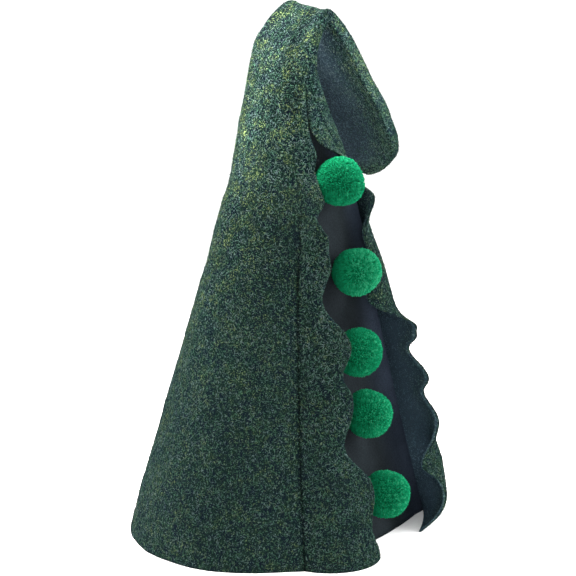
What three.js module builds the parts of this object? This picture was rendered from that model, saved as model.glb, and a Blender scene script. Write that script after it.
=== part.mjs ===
// Pea pod hat for a child: a tall hollow cone of thick felt whose tip flops over to one side.
// The front is slit open between two scalloped lips, a dark panel is sewn in behind the slit,
// and five pompom peas sit on the panel. Millimetres, +Z up, standing on the hem, facing -Y.

import * as THREE from "three";

// Cloth
const FELT = 2.6; // thickness of the green felt
const PANEL_CLOTH = 1.6; // thickness of the dark panel
const SEWN_GAP = 0.45; // left open between pieces that are sewn together

// Crown
const TIP_TURN = -13.5; // degrees from +X to the way the tip falls
const STRAIGHT_TOP = 150; // height up to which the sides are straight
const SEAM_TOP = 262; // height where the two front seams meet
const HOLLOW_TOP = 268; // height where the hollow inside is pressed shut
const SEAM_PINCH = 0.1; // share of the radius by which a front seam is drawn in
const SEAM_PINCH_WIDTH = 20; // degrees either side of the seam that the draw reaches
const SIDE_BELLY = 0.025; // share of the radius by which each side swells
const SIDE_BELLY_FROM_SEAM = 46; // degrees from the seam to the fullest line of the swell
const SIDE_BELLY_WIDTH = 20; // degrees either side of that line
const CREASE_FADE_FROM = 120; // height where pinch and swell begin to fade
const CREASE_FADE_TO = 230; // height where they are gone
const TIP_END_LENGTH = 28.5; // length of the rounded end of the tip
const PRESSED_EDGE = 0.6; // how square the edges of a pressed section are
const EDGE_ROLL = 1.5; // how much a pressed section swells towards its folded edges
const TIP_END_ROLL = 0.5; // how much it swells towards the end of the tip
const EDGE_ROLL_POWER = 6; // how close to the edge that swelling stays

// Lips
const LIP_TOP = 257; // height of the upper end of each lip
const NARROWEST_LIP = 0.2; // share of the way to the front line that a lip always reaches
const DEEPEST_SCALLOP = 0.7; // share of the width of a lip that a scallop may take

// Panel and peas
const PANEL_TOP = 250; // height of the upper end of the panel
const PANEL_TUCK = 2; // length of panel behind the crown at each seam
const PEA_RADIUS = 13.4;
const PEA_GAP = 0.45; // left open between a pea and the panel

// How finely the surfaces are faceted
const CROWN_COLUMNS = 48;
const STRAIGHT_ROWS = 7;
const NECK_ROWS = 13;
const TIP_ROWS = 17;
const TIP_END_ROWS = 6;
const LIP_ROWS = 60;
const LIP_COLUMNS = 4;
const PANEL_ROWS = 16;
const PANEL_COLUMNS = 8;
const PEA_DETAIL = 3;

// Sections of the crown from the hem up and over to the tip, a row for each. run is the length along
// the middle line; lean and rise place its middle; deep and across are half sizes along and across
// the flop; curl turns the edges under and cant lifts the back one; blunt goes from 0 for a round
// section to 1 for two layers pressed flat.
const SECTIONS = [
  { run: 0, lean: 0, rise: 0, deep: 94, across: 94, curl: 0, cant: 0, blunt: 0 },
  { run: 75, lean: 0, rise: 75, deep: 72.3, across: 72.3, curl: 0, cant: 0, blunt: 0 },
  { run: 150, lean: 0, rise: 150, deep: 50, across: 51, curl: 0, cant: 0, blunt: 0 },
  { run: 175, lean: -1, rise: 175, deep: 42, across: 44.5, curl: 0, cant: 0, blunt: 0 },
  { run: 200, lean: -2, rise: 200, deep: 34, across: 37.5, curl: 0, cant: 0, blunt: 0 },
  { run: 235, lean: -7, rise: 235, deep: 19, across: 29.5, curl: 0, cant: 0, blunt: 0 },
  { run: 262, lean: -9, rise: 262, deep: 8.5, across: 24.5, curl: 0, cant: 0, blunt: 0.2 },
  { run: 279, lean: -5.5, rise: 276, deep: 4.4, across: 22, curl: 0, cant: 0, blunt: 0.6 },
  { run: 292, lean: 3, rise: 286.4, deep: 3, across: 17.5, curl: 0, cant: 1, blunt: 1 },
  { run: 304, lean: 12, rise: 292.3, deep: 2.7, across: 15, curl: 0, cant: 1.8, blunt: 1 },
  { run: 316, lean: 18.5, rise: 287, deep: 2.7, across: 17.4, curl: 1, cant: 1.5, blunt: 1 },
  { run: 334, lean: 25, rise: 272, deep: 2.7, across: 25.2, curl: 3, cant: 0.5, blunt: 1 },
  { run: 352, lean: 34, rise: 256, deep: 2.7, across: 28.8, curl: 5, cant: 0, blunt: 1 },
  { run: 368, lean: 42, rise: 242, deep: 2.7, across: 32.8, curl: 6, cant: 0, blunt: 1 },
  { run: 384, lean: 50, rise: 228, deep: 2.7, across: 33.5, curl: 7, cant: 0, blunt: 1 },
];

// The front line and its seams up the crown: front is degrees from the flop to the front line, seam
// is degrees from the front line to either seam.
const FRONT = [
  { run: 0, front: 76.5, seam: 54.6 },
  { run: 75, front: 77.5, seam: 55 },
  { run: 150, front: 81, seam: 52 },
  { run: 175, front: 85, seam: 46 },
  { run: 200, front: 93, seam: 37 },
  { run: 235, front: 113, seam: 24 },
  { run: 262, front: 116, seam: 0 },
];

// Folds and crests of the scalloped edge of each lip from the hem up: open is degrees from the front
// line to the edge, below 0 where the edge crosses it; out and belly are the shares of the crown's
// radius at the edge and towards which the lip swells halfway; valley is the depth of the scallop cut
// above the row.
const RIGHT_CRESTS = [
  { run: 0, open: 20.5, out: 0.82, belly: 1.07, valley: 9 },
  { run: 38, open: 21.5, out: 0.88, belly: 1.06, valley: 15 },
  { run: 87, open: 26.5, out: 0.92, belly: 1.05, valley: 8 },
  { run: 115, open: 23, out: 0.94, belly: 1.05, valley: 12 },
  { run: 162, open: 28, out: 0.98, belly: 1.04, valley: 0 },
  { run: 173, open: 27, out: 1.05, belly: 1.04, valley: 5 },
  { run: 195, open: 23, out: 1.2, belly: 1.06, valley: 0 },
  { run: 203, open: 21.5, out: 1.17, belly: 1.05, valley: 0 },
  { run: 211, open: 15.5, out: 1, belly: 1.03, valley: 0 },
  { run: 219, open: 7, out: 1.03, belly: 1.02, valley: 0 },
  { run: 229, open: 5.5, out: 1, belly: 1, valley: 0 },
  { run: 238, open: 2.5, out: 1, belly: 1, valley: 0 },
  { run: 247, open: 0.9, out: 1, belly: 1, valley: 0 },
  { run: 257, open: 0.9, out: 1, belly: 1, valley: 0 },
];
const LEFT_CRESTS = [
  { run: 0, open: 22, out: 0.78, belly: 0.79, valley: 0 },
  { run: 10, open: 24, out: 0.92, belly: 0.93, valley: 0 },
  { run: 20, open: 25.5, out: 0.99, belly: 0.98, valley: 0 },
  { run: 29, open: 26, out: 0.98, belly: 1.07, valley: 0 },
  { run: 39, open: 22, out: 0.9, belly: 1.16, valley: 0 },
  { run: 54, open: 27, out: 1.03, belly: 1.05, valley: 0 },
  { run: 63, open: 28, out: 1.09, belly: 1.02, valley: 12 },
  { run: 89, open: 29, out: 1.12, belly: 1, valley: 13 },
  { run: 114, open: 29, out: 1.14, belly: 1, valley: 0 },
  { run: 120, open: 27.5, out: 1.15, belly: 1.03, valley: 0 },
  { run: 133, open: 18, out: 0.8, belly: 1.15, valley: 0 },
  { run: 150, open: 22, out: 0.93, belly: 1.09, valley: 0 },
  { run: 170, open: 27, out: 0.91, belly: 1.03, valley: 0 },
  { run: 180, open: 29, out: 1.04, belly: 1, valley: 0 },
  { run: 192, open: 30, out: 1.23, belly: 1.04, valley: 6 },
  { run: 208, open: 27.5, out: 1.16, belly: 1.04, valley: 0 },
  { run: 216, open: 20.2, out: 1.12, belly: 1.03, valley: 0 },
  { run: 223, open: 6, out: 1.03, belly: 1.01, valley: 0 },
  { run: 230, open: -0.3, out: 1, belly: 1, valley: 0 },
  { run: 238, open: -0.5, out: 1, belly: 1, valley: 0 },
  { run: 247, open: 0.9, out: 1, belly: 1, valley: 0 },
  { run: 257, open: 0.9, out: 1, belly: 1, valley: 0 },
];

// How far the panel bows out between its seams at each height
const PANEL_BOW = [
  { run: 0, out: 7 },
  { run: 30, out: 5 },
  { run: 100, out: 0 },
  { run: 150, out: 3 },
  { run: 200, out: -1 },
  { run: 250, out: 0 },
];

// The peas from the top down: height of the sewing point and its place across the panel, from the
// left seam at -1 to the right seam at 1
const PEAS = [
  { run: 202, aside: -0.06 },
  { run: 151, aside: 0 },
  { run: 106, aside: 0.06 },
  { run: 70, aside: 0.04 },
  { run: 25, aside: 0.02 },
];

// Colours
const GREEN_FELT = 0x2f5145;
const DARK_PANEL = 0x1d1b1c;
const PEA_GREEN = 0x1f9e46;

const DEG = Math.PI / 180;
const UP = new THREE.Vector3(0, 0, 1);
const FLOP = new THREE.Vector3(1, 0, 0).applyAxisAngle(UP, TIP_TURN * DEG);
const KEEL = new THREE.Vector3(0, -1, 0).applyAxisAngle(UP, TIP_TURN * DEG);

// Value of one column at a length along the rows, on a smooth curve through them
function columnAt(rows, name, run) {
  const at = THREE.MathUtils.clamp(run, rows[0].run, rows[rows.length - 1].run);
  let k = 0;
  while (k < rows.length - 2 && at > rows[k + 1].run) {
    k += 1;
  }
  const a = rows[k];
  const b = rows[k + 1];
  const before = rows[Math.max(k - 1, 0)];
  const after = rows[Math.min(k + 2, rows.length - 1)];
  const span = b.run - a.run;
  const f = (at - a.run) / span;
  const slopeA = (span * (b[name] - before[name])) / (b.run - before.run);
  const slopeB = (span * (after[name] - a[name])) / (after.run - a.run);
  const rise = f * f * (3 - 2 * f);
  const leave = f * (1 - f) * (1 - f);
  const arrive = f * f * (f - 1);
  return a[name] + (b[name] - a[name]) * rise + slopeA * leave + slopeB * arrive;
}

// Middle of the section at a length along the crown
function middleAt(run) {
  const middle = FLOP.clone().multiplyScalar(columnAt(SECTIONS, "lean", run));
  return middle.addScaledVector(UP, columnAt(SECTIONS, "rise", run));
}

// Section of the crown: its middle, its two axes and the sizes along them
function sectionAt(run) {
  const step = 0.5;
  const last = SECTIONS[SECTIONS.length - 1].run;
  const ahead = middleAt(Math.min(run + step, last));
  const along = ahead.sub(middleAt(Math.max(Math.min(run, last) - step, 0))).normalize();
  const thick = FLOP.clone().multiplyScalar(along.dot(UP)).addScaledVector(UP, -along.dot(FLOP));
  const seam = run < SEAM_TOP ? columnAt(FRONT, "seam", run) : 0;
  return {
    run,
    middle: middleAt(run),
    along,
    thick,
    seam,
    deep: columnAt(SECTIONS, "deep", run),
    across: columnAt(SECTIONS, "across", run),
    front: columnAt(FRONT, "front", run),
    curl: columnAt(SECTIONS, "curl", run),
    cant: columnAt(SECTIONS, "cant", run),
    blunt: columnAt(SECTIONS, "blunt", run),
  };
}

// Smooth bump of height 1 around zero
function bump(distance, width) {
  return Math.exp(-((distance / width) ** 2));
}

// Share of the radius at an angle from the front line: drawn in at the seams, swelling beside them
function fullness(section, turn) {
  const aside = Math.abs(((turn + 540) % 360) - 180) - section.seam;
  const span = CREASE_FADE_TO - CREASE_FADE_FROM;
  const fade = 1 - THREE.MathUtils.smoothstep((section.run - CREASE_FADE_FROM) / span, 0, 1);
  const pinch = SEAM_PINCH * bump(aside, SEAM_PINCH_WIDTH);
  const belly = SIDE_BELLY * bump(aside - SIDE_BELLY_FROM_SEAM, SIDE_BELLY_WIDTH);
  return 1 + fade * (belly - pinch);
}

// Point of a section at an angle from the front line, a share of the radius out and an inset in
function sectionPoint(section, turn, share, inset) {
  const angle = (section.front + turn) * DEG;
  const cosine = Math.cos(angle);
  const sine = Math.sin(angle);
  const square = Math.abs(cosine) ** (1 - PRESSED_EDGE * section.blunt);
  const swell = 1 + EDGE_ROLL * section.blunt * sine ** EDGE_ROLL_POWER;
  const deep = (section.deep - inset) * share * Math.sign(cosine) * square * swell;
  const across = (section.across - inset) * share * sine;
  const turned = section.curl * sine ** 2 + section.cant * sine;
  const point = section.middle.clone().addScaledVector(section.thick, deep + turned);
  return point.addScaledVector(KEEL, across);
}

function crownPoint(section, turn, inset) {
  return sectionPoint(section, turn, fullness(section, turn), inset);
}

// Closed body from corner points and triangles, turned outside out
function body(points, faces) {
  let volume = 0;
  for (const [a, b, c] of faces) {
    volume += points[a].dot(points[b].clone().cross(points[c]));
  }
  const position = new Float32Array(points.length * 3);
  points.forEach((point, k) => point.toArray(position, k * 3));
  const index = faces.flatMap(([a, b, c]) => (volume > 0 ? [a, b, c] : [a, c, b]));
  const geometry = new THREE.BufferGeometry();
  geometry.setAttribute("position", new THREE.BufferAttribute(position, 3));
  geometry.setIndex(index);
  geometry.computeVertexNormals();
  return geometry;
}

// Two triangles across four corners, left out where corners meet
function quad(faces, a, b, c, d) {
  if (a !== b && b !== c && a !== c) {
    faces.push([a, b, c]);
  }
  if (a !== c && c !== d && a !== d) {
    faces.push([a, c, d]);
  }
}

// Sections past the last row: the rounded end of the tip, with its rim turned under all round
function tipEnd(share) {
  const last = SECTIONS[SECTIONS.length - 1].run;
  const section = sectionAt(last);
  const bend = share * Math.PI * 0.5;
  section.middle.addScaledVector(section.along, TIP_END_LENGTH * Math.sin(bend));
  section.middle.addScaledVector(section.thick, section.curl * Math.sin(bend) ** 2);
  section.across *= Math.cos(bend);
  section.deep *= (1 + TIP_END_ROLL * share ** 3) * Math.sqrt(1 - share ** 8);
  section.curl *= Math.cos(bend) ** 2;
  return section;
}

// The crown: outer face, inner face of the hollow, hem and the two cut edges of the front opening
function crown() {
  const points = [];
  const faces = [];
  const ring = (section, inset) => {
    const row = [];
    for (let j = 0; j < CROWN_COLUMNS; j += 1) {
      const turn = section.seam + ((360 - 2 * section.seam) * j) / CROWN_COLUMNS;
      row.push(points.push(crownPoint(section, turn, inset)) - 1);
    }
    if (section.seam > 0) {
      row.push(points.push(crownPoint(section, -section.seam, inset)) - 1);
    } else {
      row.push(row[0]);
    }
    return row;
  };
  const strip = (low, high) => {
    for (let j = 0; j < CROWN_COLUMNS; j += 1) {
      quad(faces, low[j], low[j + 1], high[j + 1], high[j]);
    }
  };
  const cap = (row, middle) => {
    const hub = points.push(middle) - 1;
    for (let j = 0; j < CROWN_COLUMNS; j += 1) {
      faces.push([row[j], row[j + 1], hub]);
    }
  };

  const cone = [];
  for (let i = 0; i < STRAIGHT_ROWS; i += 1) {
    cone.push(sectionAt((STRAIGHT_TOP * i) / STRAIGHT_ROWS));
  }
  for (let i = 0; i <= NECK_ROWS; i += 1) {
    cone.push(sectionAt(STRAIGHT_TOP + ((SEAM_TOP - STRAIGHT_TOP) * i) / NECK_ROWS));
  }
  const tip = [];
  const tipLength = SECTIONS[SECTIONS.length - 1].run - SEAM_TOP;
  for (let i = 1; i <= TIP_ROWS; i += 1) {
    tip.push(sectionAt(SEAM_TOP + (tipLength * i) / TIP_ROWS));
  }
  for (let i = 1; i < TIP_END_ROWS; i += 1) {
    tip.push(tipEnd(i / TIP_END_ROWS));
  }

  const outer = [...cone, ...tip].map((section) => ring(section, 0));
  const inner = [...cone, sectionAt(HOLLOW_TOP)].map((section) => ring(section, FELT));
  for (let i = 0; i + 1 < outer.length; i += 1) {
    strip(outer[i], outer[i + 1]);
  }
  for (let i = 0; i + 1 < inner.length; i += 1) {
    strip(inner[i + 1], inner[i]);
  }
  strip(inner[0], outer[0]);
  cap(outer[outer.length - 1], tipEnd(1).middle);
  cap([...inner[inner.length - 1]].reverse(), sectionAt(HOLLOW_TOP).middle);
  for (let i = 0; i + 1 < cone.length; i += 1) {
    quad(faces, inner[i][0], outer[i][0], outer[i + 1][0], inner[i + 1][0]);
    const end = CROWN_COLUMNS;
    quad(faces, outer[i][end], inner[i][end], inner[i + 1][end], outer[i + 1][end]);
  }
  return body(points, faces);
}

// Cloth between two faces, each a function of two shares from 0 to 1
function cloth(front, back, columns, rows) {
  const points = [];
  const faces = [];
  const at = (side, i, j) => side * (columns + 1) * (rows + 1) + i * (columns + 1) + j;
  for (const face of [front, back]) {
    for (let i = 0; i <= rows; i += 1) {
      for (let j = 0; j <= columns; j += 1) {
        points.push(face(j / columns, i / rows));
      }
    }
  }
  for (let i = 0; i < rows; i += 1) {
    for (let j = 0; j < columns; j += 1) {
      quad(faces, at(0, i, j), at(0, i, j + 1), at(0, i + 1, j + 1), at(0, i + 1, j));
      quad(faces, at(1, i, j), at(1, i + 1, j), at(1, i + 1, j + 1), at(1, i, j + 1));
    }
    quad(faces, at(0, i, 0), at(0, i + 1, 0), at(1, i + 1, 0), at(1, i, 0));
    quad(faces, at(0, i, columns), at(1, i, columns), at(1, i + 1, columns), at(0, i + 1, columns));
  }
  for (let j = 0; j < columns; j += 1) {
    quad(faces, at(0, 0, j), at(1, 0, j), at(1, 0, j + 1), at(0, 0, j + 1));
    quad(faces, at(0, rows, j), at(0, rows, j + 1), at(1, rows, j + 1), at(1, rows, j));
  }
  return body(points, faces);
}

// Radius by which an angle from the front line is turned into a length along the crown
function arcRadius(section, turn) {
  const angle = (section.front + turn) * DEG;
  return Math.hypot(section.deep * Math.sin(angle), section.across * Math.cos(angle));
}

// Depth of the scallop at a height, none at a crest
function scallop(crests, run) {
  let k = 0;
  while (k < crests.length - 2 && run > crests[k + 1].run) {
    k += 1;
  }
  const between = (run - crests[k].run) / (crests[k + 1].run - crests[k].run);
  return crests[k].valley * Math.sin(Math.PI * between) ** 2;
}

// Face of a lip from its seam to its edge; side is 1 on the right and -1 on the left
function lipFace(crests, side, inset) {
  return (s, t) => {
    const section = sectionAt(LIP_TOP * t);
    const arc = arcRadius(section, side * section.seam);
    const sewn = section.seam - SEWN_GAP / arc / DEG;
    const crest = columnAt(crests, "open", section.run);
    const atSeam = fullness(section, section.seam);
    const atEdge = columnAt(crests, "out", section.run);
    const belly = columnAt(crests, "belly", section.run);
    const width = Math.hypot((sewn - crest) * DEG * arc, (atEdge - atSeam) * arc);
    const cut = Math.min(scallop(crests, section.run) / width, DEEPEST_SCALLOP);
    const reach = s * (1 - cut);
    const turn = sewn - Math.max(sewn - crest, NARROWEST_LIP * sewn) * reach;
    const share = atSeam * (1 - reach) ** 2 + 2 * belly * reach * (1 - reach) + atEdge * reach ** 2;
    return sectionPoint(section, side * turn, share, inset);
  };
}

function lip(crests, side) {
  return cloth(lipFace(crests, side, 0), lipFace(crests, side, FELT), LIP_COLUMNS, LIP_ROWS);
}

// Face of the panel from the left seam to the right seam
function panelFace(depth) {
  return (s, t) => {
    const section = sectionAt(PANEL_TOP * t);
    const tuck = PANEL_TUCK / section.across / DEG;
    const left = crownPoint(section, -section.seam - tuck, FELT + SEWN_GAP);
    const right = crownPoint(section, section.seam + tuck, FELT + SEWN_GAP);
    const out = right.clone().sub(left).cross(UP).normalize().negate();
    const bow = columnAt(PANEL_BOW, "out", section.run) * 4 * s * (1 - s);
    return left.lerp(right, s).addScaledVector(out, bow - depth);
  };
}

// Middle of a pea that rests against the panel
function peaMiddle(row) {
  const s = (row.aside + 1) / 2;
  const t = row.run / PANEL_TOP;
  const face = panelFace(0);
  const step = 0.002;
  const across = face(s + step, t).sub(face(s - step, t));
  const upward = face(s, t + step).sub(face(s, t - step));
  const normal = upward.cross(across).normalize();
  return face(s, t).addScaledVector(normal, PEA_RADIUS + PEA_GAP);
}

function piece(name, geometry, colour, roughness) {
  const mesh = new THREE.Mesh(geometry, new THREE.MeshStandardMaterial({ color: colour, roughness }));
  mesh.name = name;
  return mesh;
}

const hat = new THREE.Group();
hat.name = "pea_pod_hat";
hat.add(piece("crown", crown(), GREEN_FELT, 0.95));
hat.add(piece("lip_right", lip(RIGHT_CRESTS, 1), GREEN_FELT, 0.95));
hat.add(piece("lip_left", lip(LEFT_CRESTS, -1), GREEN_FELT, 0.95));
const panel = cloth(panelFace(0), panelFace(PANEL_CLOTH), PANEL_COLUMNS, PANEL_ROWS);
hat.add(piece("front_panel", panel, DARK_PANEL, 0.9));
PEAS.forEach((row, k) => {
  const ball = new THREE.IcosahedronGeometry(PEA_RADIUS, PEA_DETAIL);
  const pea = piece(`pea_${k + 1}`, ball, PEA_GREEN, 0.9);
  pea.position.copy(peaMiddle(row));
  hat.add(pea);
});

// Stand the middle of the whole hat over the origin
const bounds = new THREE.Box3().setFromObject(hat);
const centre = bounds.getCenter(new THREE.Vector3());
hat.position.set(-centre.x, -centre.y, -bounds.min.z);

export default hat;
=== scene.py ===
"""Pea pod hat: its felt, dark panel, pompom peas and stage, laid out as an add-on and run as a script."""

import math
from collections import namedtuple

import bmesh
import bpy
import numpy as np
from bpy.props import FloatProperty, FloatVectorProperty, IntProperty, PointerProperty
from bpy.types import Operator, Panel, PropertyGroup
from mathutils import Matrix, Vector


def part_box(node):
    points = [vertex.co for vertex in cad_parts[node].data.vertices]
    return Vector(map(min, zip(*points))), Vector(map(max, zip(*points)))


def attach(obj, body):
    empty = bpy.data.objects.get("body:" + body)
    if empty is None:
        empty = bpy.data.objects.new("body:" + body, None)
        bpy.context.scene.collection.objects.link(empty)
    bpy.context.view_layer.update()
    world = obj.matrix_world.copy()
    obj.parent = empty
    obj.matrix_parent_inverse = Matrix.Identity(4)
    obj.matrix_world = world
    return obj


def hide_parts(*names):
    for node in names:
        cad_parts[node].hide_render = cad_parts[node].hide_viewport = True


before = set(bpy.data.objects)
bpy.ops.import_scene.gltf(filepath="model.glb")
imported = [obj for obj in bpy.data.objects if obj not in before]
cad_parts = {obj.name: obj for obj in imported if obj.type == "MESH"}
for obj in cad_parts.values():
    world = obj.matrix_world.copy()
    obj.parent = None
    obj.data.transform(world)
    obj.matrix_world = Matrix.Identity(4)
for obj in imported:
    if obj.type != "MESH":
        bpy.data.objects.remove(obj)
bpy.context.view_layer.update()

bl_info = {
    "name": "Pea Pod Hat",
    "version": (1, 0, 0),
    "blender": (4, 5, 0),
    "location": "3D View > Sidebar > Pea Pod Hat",
    "description": "Builds a felt pea pod hat with pompom peas on its packed frame",
    "category": "Object",
}

# Shape of the hat, the same as the part's, in metres
TIP_TURN = math.radians(-13.5)
SEAM_TOP = 0.262
HOLLOW_TOP = 0.268
SEAM_PINCH = 0.1
SEAM_PINCH_WIDTH = 20
SIDE_BELLY = 0.025
SIDE_BELLY_FROM_SEAM = 46
SIDE_BELLY_WIDTH = 20
CREASE_FADE_FROM = 0.12
CREASE_FADE_TO = 0.23
TIP_END_LENGTH = 0.0285
PRESSED_EDGE = 0.6
EDGE_ROLL = 1.5
EDGE_ROLL_POWER = 6
TIP_END_ROLL = 0.5
SEWN_GAP = 0.00045
SEWN_CLOSE = 0.00005
LIP_TUCK_TOP = 0.2616
NARROWEST_LIP = 0.2
DEEPEST_SCALLOP = 0.7
PANEL_TOP = 0.25
PANEL_TUCK = 0.002
PANEL_SETTLE = 0.012
PANEL_SETTLE_SHARE = 0.4
PEA_GAP = 0.00045

UP = np.array([0.0, 0.0, 1.0])
UP_WAY = Vector(UP)
FLOP = np.array([math.cos(TIP_TURN), math.sin(TIP_TURN), 0.0])
KEEL = np.array([math.sin(TIP_TURN), -math.cos(TIP_TURN), 0.0])


def table(names, rows):
    """Named columns of a short table."""
    return dict(zip(names.split(), np.array(rows, float).T))


# Sections of the crown from the hem up and over to the tip
SECTIONS = table("run lean rise deep across curl cant blunt", (
    (0.000, 0.0000, 0.0000, 0.0940, 0.0940, 0.000, 0.0000, 0.0),
    (0.075, 0.0000, 0.0750, 0.0723, 0.0723, 0.000, 0.0000, 0.0),
    (0.150, 0.0000, 0.1500, 0.0500, 0.0510, 0.000, 0.0000, 0.0),
    (0.175, -0.0010, 0.1750, 0.0420, 0.0445, 0.000, 0.0000, 0.0),
    (0.200, -0.0020, 0.2000, 0.0340, 0.0375, 0.000, 0.0000, 0.0),
    (0.235, -0.0070, 0.2350, 0.0190, 0.0295, 0.000, 0.0000, 0.0),
    (0.262, -0.0090, 0.2620, 0.0085, 0.0245, 0.000, 0.0000, 0.2),
    (0.279, -0.0055, 0.2760, 0.0044, 0.0220, 0.000, 0.0000, 0.6),
    (0.292, 0.0030, 0.2864, 0.0030, 0.0175, 0.000, 0.0010, 1.0),
    (0.304, 0.0120, 0.2923, 0.0027, 0.0150, 0.000, 0.0018, 1.0),
    (0.316, 0.0185, 0.2870, 0.0027, 0.0174, 0.001, 0.0015, 1.0),
    (0.334, 0.0250, 0.2720, 0.0027, 0.0252, 0.003, 0.0005, 1.0),
    (0.352, 0.0340, 0.2560, 0.0027, 0.0288, 0.005, 0.0000, 1.0),
    (0.368, 0.0420, 0.2420, 0.0027, 0.0328, 0.006, 0.0000, 1.0),
    (0.384, 0.0500, 0.2280, 0.0027, 0.0335, 0.007, 0.0000, 1.0),
))
TIP_LAST = SECTIONS["run"][-1]

# The front line and the seams beside it, in degrees
FRONT = table("run front seam", (
    (0.000, 76.5, 54.6),
    (0.075, 77.5, 55.0),
    (0.150, 81.0, 52.0),
    (0.175, 85.0, 46.0),
    (0.200, 93.0, 37.0),
    (0.235, 113.0, 24.0),
    (0.262, 116.0, 0.0),
))

# Crests of the scalloped edge of each lip
CREST_COLUMNS = "run open out belly valley"
RIGHT_CRESTS = table(CREST_COLUMNS, (
    (0.000, 20.5, 0.82, 1.07, 0.0090),
    (0.038, 21.5, 0.88, 1.06, 0.0150),
    (0.087, 26.5, 0.92, 1.05, 0.0080),
    (0.115, 23.0, 0.94, 1.05, 0.0120),
    (0.162, 28.0, 0.98, 1.04, 0.0000),
    (0.173, 27.0, 1.05, 1.04, 0.0050),
    (0.195, 23.0, 1.20, 1.06, 0.0000),
    (0.203, 21.5, 1.17, 1.05, 0.0000),
    (0.211, 15.5, 1.00, 1.03, 0.0000),
    (0.219, 7.0, 1.03, 1.02, 0.0000),
    (0.229, 5.5, 1.00, 1.00, 0.0000),
    (0.238, 2.5, 1.00, 1.00, 0.0000),
    (0.247, 0.9, 1.00, 1.00, 0.0000),
    (0.257, 0.9, 1.00, 1.00, 0.0000),
))
LEFT_CRESTS = table(CREST_COLUMNS, (
    (0.000, 22.0, 0.78, 0.79, 0.0000),
    (0.010, 24.0, 0.92, 0.93, 0.0000),
    (0.020, 25.5, 0.99, 0.98, 0.0000),
    (0.029, 26.0, 0.98, 1.07, 0.0000),
    (0.039, 22.0, 0.90, 1.16, 0.0000),
    (0.054, 27.0, 1.03, 1.05, 0.0000),
    (0.063, 28.0, 1.09, 1.02, 0.0120),
    (0.089, 29.0, 1.12, 1.00, 0.0130),
    (0.114, 29.0, 1.14, 1.00, 0.0000),
    (0.120, 27.5, 1.15, 1.03, 0.0000),
    (0.133, 18.0, 0.80, 1.15, 0.0000),
    (0.150, 22.0, 0.93, 1.09, 0.0000),
    (0.170, 27.0, 0.91, 1.03, 0.0000),
    (0.180, 29.0, 1.04, 1.00, 0.0000),
    (0.192, 30.0, 1.23, 1.04, 0.0060),
    (0.208, 27.5, 1.16, 1.04, 0.0000),
    (0.216, 20.2, 1.12, 1.03, 0.0000),
    (0.223, 6.0, 1.03, 1.01, 0.0000),
    (0.230, -0.3, 1.00, 1.00, 0.0000),
    (0.238, -0.5, 1.00, 1.00, 0.0000),
    (0.247, 0.9, 1.00, 1.00, 0.0000),
    (0.257, 0.9, 1.00, 1.00, 0.0000),
))

# How far the panel bows out between its seams
PANEL_BOW = table("run out", (
    (0.00, 0.007),
    (0.03, 0.005),
    (0.10, 0.000),
    (0.15, 0.003),
    (0.20, -0.001),
    (0.25, 0.000),
))

# Peas from the top down: height of the sewing point, place across the panel, and how much lighter each is
# painted, as painted light and shade that make up for how the lamps fall on each
PEAS = table("run aside tone", (
    (0.202, -0.06, -0.15),
    (0.151, 0.00, 0.20),
    (0.106, 0.06, -0.08),
    (0.070, 0.04, 0.00),
    (0.025, 0.02, 0.00),
))
PEA_NAMES = [f"pea_{k + 1}" for k in range(len(PEAS["run"]))]

# How finely the pieces are meshed
CROWN_COLUMNS = 190
CONE_ROWS = 128
TIP_ROWS = 84
TIP_END_ROWS = 24
LIP_COLUMNS = 16
LIP_ROWS = 300
PANEL_COLUMNS = 48
PANEL_ROWS = 90
ROUND_STEPS = np.array([0.0, 0.1, 0.3, 0.6, 1.0, 1.6])
FLOOR_SEGMENTS = 96
WELD_DISTANCE = 2e-6
SLIVER_DISTANCE = 1e-7
SHORTEST = 1e-12

# Seeds of the random draws, and the waves that uneven fields are summed from
WAVE_COUNT = 14
WAVE_LENGTHS = (0.7, 1.5)
LUMP_SEED = 11
CROWN_SEED = 21
LIP_SEED = 31
PEA_SEED = 41

# Level directions by which painted light and shade are laid, seen from the hat's right front: to the right,
# and nearer
NEAR_RIGHT = np.array([0.52, -0.85, 0.0])
NEAR_TOWARD = np.array([-0.85, -0.52, 0.0])

# Painted light and shade of the crown: places along it in metres, and shades from -1, lightest, to 1,
# darkest; painted shade by the seams, at the waist and in a fold of the neck, painted light on the left up
# the neck and by the hem
SEAM_SHADE = 0.0007
SEAM_FADE = (0.15, 0.2)
SEAM_PAINTED_SHADE = 0.65
HEM_PAINTED_LIGHT = 0.22
WAIST_START = (0.11, 0.16)
WAIST_PAINTED_SHADE = 0.17
NECK_START = (0.19, 0.23)
NECK_TURN = 0.004
NECK_LIT_FROM = (0.3, 0.9)
NECK_PAINTED_LIGHT = 0.55
FOLD_START = (0.225, 0.25)
FOLD_PLACE = 0.25
FOLD_WIDTH = 0.3
FOLD_PAINTED_SHADE = 0.45

# Painted light and shade of the tip's under side, laid by the place along the tip and by the angle round
# it: painted shade, dim and plain by the neck, and painted light at its outer rim
TIP_START = (0.296, 0.312)
TIP_RIM = (0.404, 0.4105)
TIP_FACE = (0.1, 0.8)
TIP_PLAIN_TO = (-0.35, 0.75)
TIP_SLANT = 0.4
TIP_SLANT_ALONG = (0.334, 0.384)
TIP_PAINTED_SHADE = 0.8
TIP_PAINTED_SHADE_TO = (-0.6, 0.2)
TIP_PAINTED_LIGHT = 0.8
TIP_PAINTED_LIGHT_FROM = (0.2, 0.6)

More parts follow.
